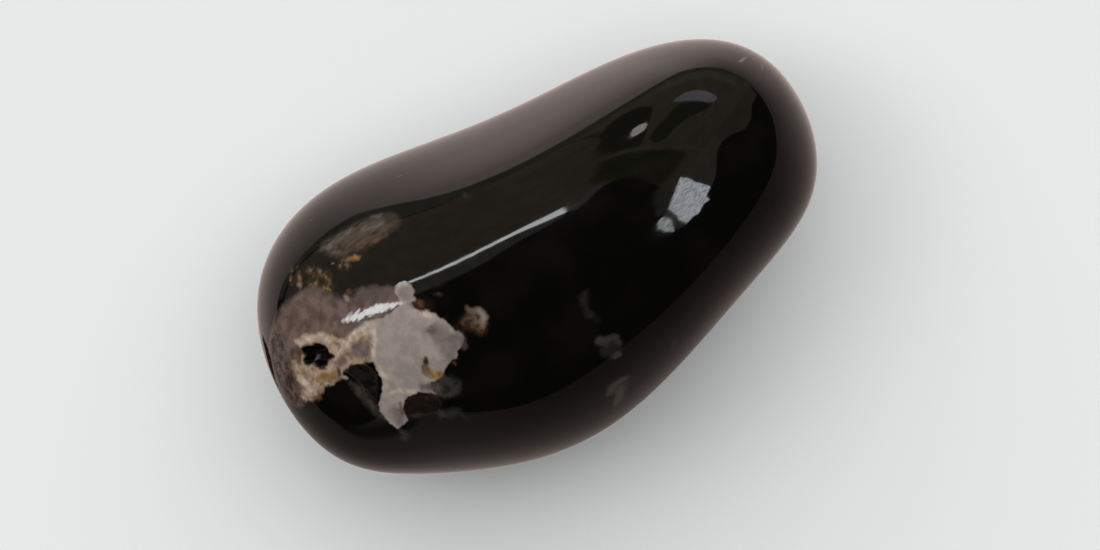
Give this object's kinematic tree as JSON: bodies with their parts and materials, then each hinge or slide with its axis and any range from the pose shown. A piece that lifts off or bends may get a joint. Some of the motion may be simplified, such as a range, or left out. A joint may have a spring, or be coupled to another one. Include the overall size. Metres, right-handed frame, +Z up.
{
  "type": "polished onyx stone",
  "caption": "Tumbled and polished black onyx pebble, a plump slightly bent bean shape with a pale chalcedony patch and small open pits near its broad end.",
  "frame": {"origin": "on the table under the middle of the stone's box, as the stone lies on its belly", "axes": "+Z up; +X along the stone, from its broad end to its narrow end"},
  "size_m": [0.045, 0.0264, 0.0244],
  "materials": {
    "polished_onyx": "tumble polished to a mirror gloss, black, with a grey and cream patch and gold specks"
  },
  "bodies": {
    "root": {"onyx_stone": "polished_onyx"}
  },
  "joints": []
}
